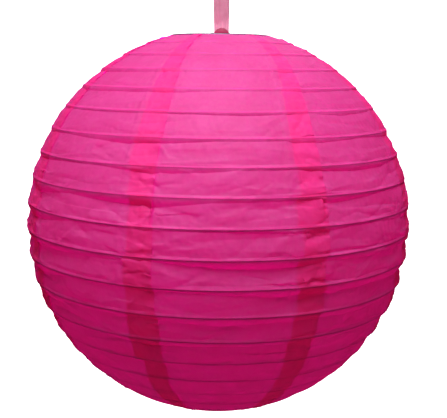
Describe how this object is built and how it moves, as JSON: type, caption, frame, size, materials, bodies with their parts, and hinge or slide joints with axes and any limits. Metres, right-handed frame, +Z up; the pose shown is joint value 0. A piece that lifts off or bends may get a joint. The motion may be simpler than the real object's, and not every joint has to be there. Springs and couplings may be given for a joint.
{
  "type": "paper lantern",
  "caption": "Round ribbed paper lantern on wire hoops with an inner wire expander, hung by a flat ribbon, and folding flat for storage.",
  "frame": {"origin": "inside top of the ribbon's hanging loop, where a hook bears; the lantern hangs below it", "axes": "+Z up along the lantern's axis and the ribbon; the front faces -Y; +X to the right, along the expander's crossbar"},
  "size_m": [0.2998, 0.2998, 0.3996],
  "materials": {
    "paper": "thin translucent dyed tissue paper with a faint fibre grain and creases",
    "rib_wire": "drawn steel wire, dull",
    "ring_wire": "drawn steel wire, dull",
    "expander_wire": "bright galvanised spring wire",
    "ribbon": "sheer woven ribbon with a soft satin sheen"
  },
  "bodies": {
    "hanging_loop": {"ribbon_hanging_loop": "ribbon"},
    "knot": {"ribbon_knot": "ribbon"},
    "ribbon": {"ribbon": "ribbon"},
    "lantern_top": {"top_ring": "ring_wire", "expander_crossbar": "expander_wire", "paper_gore_1": "paper", "paper_gore_2": "paper", "paper_gore_3": "paper", "paper_gore_4": "paper", "paper_gore_5": "paper", "paper_gore_6": "paper", "paper_gore_7": "paper", "paper_gore_8": "paper"},
    "lantern_bottom": {"bottom_ring": "ring_wire"},
    "leg_left": {"expander_leg_left": "expander_wire"},
    "leg_right": {"expander_leg_right": "expander_wire"},
    "rib_01": {"rib_wire_01": "rib_wire"},
    "rib_02": {"rib_wire_02": "rib_wire"},
    "rib_03": {"rib_wire_03": "rib_wire"},
    "rib_04": {"rib_wire_04": "rib_wire"},
    "rib_05": {"rib_wire_05": "rib_wire"},
    "rib_06": {"rib_wire_06": "rib_wire"},
    "rib_07": {"rib_wire_07": "rib_wire"},
    "rib_08": {"rib_wire_08": "rib_wire"},
    "rib_09": {"rib_wire_09": "rib_wire"},
    "rib_10": {"rib_wire_10": "rib_wire"},
    "rib_11": {"rib_wire_11": "rib_wire"},
    "rib_12": {"rib_wire_12": "rib_wire"},
    "rib_13": {"rib_wire_13": "rib_wire"},
    "rib_14": {"rib_wire_14": "rib_wire"},
    "rib_15": {"rib_wire_15": "rib_wire"},
    "rib_16": {"rib_wire_16": "rib_wire"},
    "rib_17": {"rib_wire_17": "rib_wire"},
    "rib_18": {"rib_wire_18": "rib_wire"},
    "rib_19": {"rib_wire_19": "rib_wire"}
  },
  "joints": [
    {"name": "swing_sideways", "type": "hinge", "parent": "hanging_loop", "child": "knot", "pos_m": [0, 0, -0.029], "axis": [0, 1, 0], "range_deg": [-45, 45]},
    {"name": "turn_on_ribbon", "type": "hinge", "parent": "knot", "child": "ribbon", "pos_m": [0, 0, -0.033], "axis": [0, 0, 1], "range_deg": [-180, 180]},
    {"name": "swing_front_back", "type": "hinge", "parent": "ribbon", "child": "lantern_top", "pos_m": [0, 0, -0.1054], "axis": [1, 0, 0], "range_deg": [-45, 45]},
    {"name": "shell_collapse", "type": "slide", "parent": "lantern_top", "child": "lantern_bottom", "axis": [0, 0, 1], "range_m": [0, 0.25], "deforming": ["paper_gore_1", "paper_gore_2", "paper_gore_3", "paper_gore_4", "paper_gore_5", "paper_gore_6", "paper_gore_7", "paper_gore_8"]},
    {"name": "leg_squeeze_left", "type": "hinge", "parent": "lantern_top", "child": "leg_left", "pos_m": [-0.03, 0, -0.12], "axis": [0, -1, 0], "range_deg": [0, 5.2]},
    {"name": "leg_squeeze_right", "type": "hinge", "parent": "lantern_top", "child": "leg_right", "pos_m": [0.03, 0, -0.12], "axis": [0, 1, 0], "range_deg": [0, 5.2]},
    {"name": "rib_01_rise", "type": "slide", "parent": "lantern_top", "child": "rib_01", "axis": [0, 0, 1], "range_m": [0, 0.0055]},
    {"name": "rib_02_rise", "type": "slide", "parent": "lantern_top", "child": "rib_02", "axis": [0, 0, 1], "range_m": [0, 0.0129]},
    {"name": "rib_03_rise", "type": "slide", "parent": "lantern_top", "child": "rib_03", "axis": [0, 0, 1], "range_m": [0, 0.0223]},
    {"name": "rib_04_rise", "type": "slide", "parent": "lantern_top", "child": "rib_04", "axis": [0, 0, 1], "range_m": [0, 0.0335]},
    {"name": "rib_05_rise", "type": "slide", "parent": "lantern_top", "child": "rib_05", "axis": [0, 0, 1], "range_m": [0, 0.0462]},
    {"name": "rib_06_rise", "type": "slide", "parent": "lantern_top", "child": "rib_06", "axis": [0, 0, 1], "range_m": [0, 0.0604]},
    {"name": "rib_07_rise", "type": "slide", "parent": "lantern_top", "child": "rib_07", "axis": [0, 0, 1], "range_m": [0, 0.0756]},
    {"name": "rib_08_rise", "type": "slide", "parent": "lantern_top", "child": "rib_08", "axis": [0, 0, 1], "range_m": [0, 0.0918]},
    {"name": "rib_09_rise", "type": "slide", "parent": "lantern_top", "child": "rib_09", "axis": [0, 0, 1], "range_m": [0, 0.1085]},
    {"name": "rib_10_rise", "type": "slide", "parent": "lantern_top", "child": "rib_10", "axis": [0, 0, 1], "range_m": [0, 0.1255]},
    {"name": "rib_11_rise", "type": "slide", "parent": "lantern_top", "child": "rib_11", "axis": [0, 0, 1], "range_m": [0, 0.1425]},
    {"name": "rib_12_rise", "type": "slide", "parent": "lantern_top", "child": "rib_12", "axis": [0, 0, 1], "range_m": [0, 0.1592]},
    {"name": "rib_13_rise", "type": "slide", "parent": "lantern_top", "child": "rib_13", "axis": [0, 0, 1], "range_m": [0, 0.1754]},
    {"name": "rib_14_rise", "type": "slide", "parent": "lantern_top", "child": "rib_14", "axis": [0, 0, 1], "range_m": [0, 0.1907]},
    {"name": "rib_15_rise", "type": "slide", "parent": "lantern_top", "child": "rib_15", "axis": [0, 0, 1], "range_m": [0, 0.2048]},
    {"name": "rib_16_rise", "type": "slide", "parent": "lantern_top", "child": "rib_16", "axis": [0, 0, 1], "range_m": [0, 0.2175]},
    {"name": "rib_17_rise", "type": "slide", "parent": "lantern_top", "child": "rib_17", "axis": [0, 0, 1], "range_m": [0, 0.2287]},
    {"name": "rib_18_rise", "type": "slide", "parent": "lantern_top", "child": "rib_18", "axis": [0, 0, 1], "range_m": [0, 0.2381]},
    {"name": "rib_19_rise", "type": "slide", "parent": "lantern_top", "child": "rib_19", "axis": [0, 0, 1], "range_m": [0, 0.2455]}
  ],
  "couplings": [
    {"joint": "leg_squeeze_left", "follows": "shell_collapse", "rad_per_m": 0.36},
    {"joint": "leg_squeeze_right", "follows": "shell_collapse", "rad_per_m": 0.36},
    {"joint": "rib_01_rise", "follows": "shell_collapse", "ratio": 0.0199},
    {"joint": "rib_02_rise", "follows": "shell_collapse", "ratio": 0.0496},
    {"joint": "rib_03_rise", "follows": "shell_collapse", "ratio": 0.0871},
    {"joint": "rib_04_rise", "follows": "shell_collapse", "ratio": 0.1318},
    {"joint": "rib_05_rise", "follows": "shell_collapse", "ratio": 0.1829},
    {"joint": "rib_06_rise", "follows": "shell_collapse", "ratio": 0.2394},
    {"joint": "rib_07_rise", "follows": "shell_collapse", "ratio": 0.3005},
    {"joint": "rib_08_rise", "follows": "shell_collapse", "ratio": 0.3651},
    {"joint": "rib_09_rise", "follows": "shell_collapse", "ratio": 0.4319},
    {"joint": "rib_10_rise", "follows": "shell_collapse", "ratio": 0.5},
    {"joint": "rib_11_rise", "follows": "shell_collapse", "ratio": 0.5681},
    {"joint": "rib_12_rise", "follows": "shell_collapse", "ratio": 0.6349},
    {"joint": "rib_13_rise", "follows": "shell_collapse", "ratio": 0.6995},
    {"joint": "rib_14_rise", "follows": "shell_collapse", "ratio": 0.7606},
    {"joint": "rib_15_rise", "follows": "shell_collapse", "ratio": 0.8171},
    {"joint": "rib_16_rise", "follows": "shell_collapse", "ratio": 0.8682},
    {"joint": "rib_17_rise", "follows": "shell_collapse", "ratio": 0.9129},
    {"joint": "rib_18_rise", "follows": "shell_collapse", "ratio": 0.9504},
    {"joint": "rib_19_rise", "follows": "shell_collapse", "ratio": 0.9801}
  ]
}
